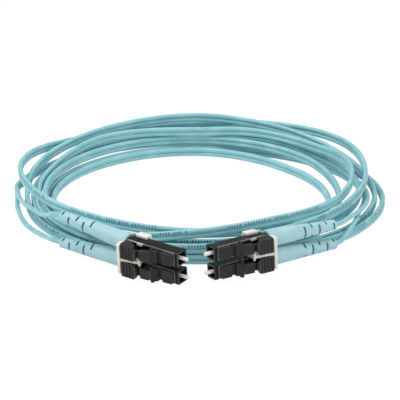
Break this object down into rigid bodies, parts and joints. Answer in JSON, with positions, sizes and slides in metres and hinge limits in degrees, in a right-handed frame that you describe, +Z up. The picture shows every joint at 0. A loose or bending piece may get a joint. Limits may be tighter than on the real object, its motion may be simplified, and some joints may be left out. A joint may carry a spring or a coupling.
{
  "type": "fibre optic patch cord",
  "caption": "Duplex fibre optic patch cord with latched square plugs on both ends, clipped in pairs, wound in a loose coil.",
  "frame": {"origin": "on the surface that the cord lies on, under the middle of the two plug pairs", "axes": "+X from the left-hand plug pair to the right-hand one, +Y from the plugs towards the coil, +Z up"},
  "size_m": [0.1298, 0.1335, 0.0145],
  "materials": {
    "aqua_jacket": "satin PVC cable jacket",
    "aqua_boot": "soft moulded boot, matte",
    "white_clip": "moulded, slightly glossy",
    "black_plastic": "moulded, satin",
    "flange_metal": "nickel-plated",
    "spring_steel": "drawn wire",
    "white_ceramic": "polished zirconia",
    "buffer_coat": "tight buffer coating",
    "crimp_metal": "drawn, crimped"
  },
  "bodies": {
    "root": {"duplex_cable": "aqua_jacket", "duplex_clip_left": "white_clip", "duplex_clip_right": "white_clip", "leg_left_upper": "aqua_jacket", "leg_left_lower": "aqua_jacket", "leg_right_upper": "aqua_jacket", "leg_right_lower": "aqua_jacket", "housing_left_upper": "black_plastic", "housing_left_lower": "black_plastic", "housing_right_upper": "black_plastic", "housing_right_lower": "black_plastic", "rear_body_left_upper": "black_plastic", "rear_body_left_lower": "black_plastic", "rear_body_right_upper": "black_plastic", "rear_body_right_lower": "black_plastic", "ferrule_spring_left_upper": "spring_steel", "ferrule_spring_left_lower": "spring_steel", "ferrule_spring_right_upper": "spring_steel", "ferrule_spring_right_lower": "spring_steel", "buffered_fibre_left_upper": "buffer_coat", "buffered_fibre_left_lower": "buffer_coat", "buffered_fibre_right_upper": "buffer_coat", "buffered_fibre_right_lower": "buffer_coat", "crimp_sleeve_left_upper": "crimp_metal", "crimp_sleeve_left_lower": "crimp_metal", "crimp_sleeve_right_upper": "crimp_metal", "crimp_sleeve_right_lower": "crimp_metal", "boot_left_upper": "aqua_boot", "boot_left_lower": "aqua_boot", "boot_right_upper": "aqua_boot", "boot_right_lower": "aqua_boot"},
    "latch_left_upper": {"latch_left_upper": "black_plastic"},
    "trigger_left_upper": {"trigger_left_upper": "black_plastic"},
    "ferrule_left_upper": {"ferrule_left_upper": "white_ceramic", "ferrule_flange_left_upper": "flange_metal"},
    "latch_left_lower": {"latch_left_lower": "black_plastic"},
    "trigger_left_lower": {"trigger_left_lower": "black_plastic"},
    "ferrule_left_lower": {"ferrule_left_lower": "white_ceramic", "ferrule_flange_left_lower": "flange_metal"},
    "latch_right_upper": {"latch_right_upper": "black_plastic"},
    "trigger_right_upper": {"trigger_right_upper": "black_plastic"},
    "ferrule_right_upper": {"ferrule_right_upper": "white_ceramic", "ferrule_flange_right_upper": "flange_metal"},
    "latch_right_lower": {"latch_right_lower": "black_plastic"},
    "trigger_right_lower": {"trigger_right_lower": "black_plastic"},
    "ferrule_right_lower": {"ferrule_right_lower": "white_ceramic", "ferrule_flange_right_lower": "flange_metal"}
  },
  "joints": [
    {"name": "trigger_left_upper_hinge", "type": "hinge", "parent": "root", "child": "trigger_left_upper", "pos_m": [-0.02216, -0.00577, 0.00931], "axis": [-0.042, -0.0557, 0.9976], "range_deg": [0, 12], "stiffness_Nm_per_rad": 0.0002},
    {"name": "latch_left_upper_hinge", "type": "hinge", "parent": "root", "child": "latch_left_upper", "pos_m": [-0.00836, -0.01588, 0.00933], "axis": [0.042, 0.0557, -0.9976], "range_deg": [0, 5.6]},
    {"name": "ferrule_left_upper_slide", "type": "slide", "parent": "root", "child": "ferrule_left_upper", "axis": [0.7986, -0.6018, 0], "range_m": [-0.001, 0], "stiffness_N_per_m": 20, "deforming": ["ferrule_spring_left_upper"]},
    {"name": "trigger_left_lower_hinge", "type": "hinge", "parent": "root", "child": "trigger_left_lower", "pos_m": [-0.02189, -0.00542, 0.00308], "axis": [-0.042, -0.0557, 0.9976], "range_deg": [0, 12], "stiffness_Nm_per_rad": 0.0002},
    {"name": "latch_left_lower_hinge", "type": "hinge", "parent": "root", "child": "latch_left_lower", "pos_m": [-0.0081, -0.01553, 0.00309], "axis": [0.042, 0.0557, -0.9976], "range_deg": [0, 5.6]},
    {"name": "ferrule_left_lower_slide", "type": "slide", "parent": "root", "child": "ferrule_left_lower", "axis": [0.7986, -0.6018, 0], "range_m": [-0.001, 0], "stiffness_N_per_m": 20, "deforming": ["ferrule_spring_left_lower"]},
    {"name": "trigger_right_upper_hinge", "type": "hinge", "parent": "root", "child": "trigger_right_upper", "pos_m": [0.02131, -0.00297, 0.00984], "axis": [0.0475, -0.0731, -0.9962], "range_deg": [0, 12], "stiffness_Nm_per_rad": 0.0002},
    {"name": "latch_right_upper_hinge", "type": "hinge", "parent": "root", "child": "latch_right_upper", "pos_m": [0.00684, -0.01209, 0.00982], "axis": [-0.0475, 0.0731, 0.9962], "range_deg": [0, 5.6]},
    {"name": "ferrule_right_upper_slide", "type": "slide", "parent": "root", "child": "ferrule_right_upper", "axis": [-0.8387, -0.5446, 0], "range_m": [-0.001, 0], "stiffness_N_per_m": 20, "deforming": ["ferrule_spring_right_upper"]},
    {"name": "trigger_right_lower_hinge", "type": "hinge", "parent": "root", "child": "trigger_right_lower", "pos_m": [0.0216, -0.00343, 0.00361], "axis": [0.0475, -0.0731, -0.9962], "range_deg": [0, 12], "stiffness_Nm_per_rad": 0.0002},
    {"name": "latch_right_lower_hinge", "type": "hinge", "parent": "root", "child": "latch_right_lower", "pos_m": [0.00714, -0.01255, 0.00359], "axis": [-0.0475, 0.0731, 0.9962], "range_deg": [0, 5.6]},
    {"name": "ferrule_right_lower_slide", "type": "slide", "parent": "root", "child": "ferrule_right_lower", "axis": [-0.8387, -0.5446, 0], "range_m": [-0.001, 0], "stiffness_N_per_m": 20, "deforming": ["ferrule_spring_right_lower"]}
  ],
  "couplings": [
    {"joint": "latch_left_upper_hinge", "follows": "trigger_left_upper_hinge", "ratio": 0.449},
    {"joint": "latch_left_lower_hinge", "follows": "trigger_left_lower_hinge", "ratio": 0.449},
    {"joint": "latch_right_upper_hinge", "follows": "trigger_right_upper_hinge", "ratio": 0.449},
    {"joint": "latch_right_lower_hinge", "follows": "trigger_right_lower_hinge", "ratio": 0.449}
  ]
}
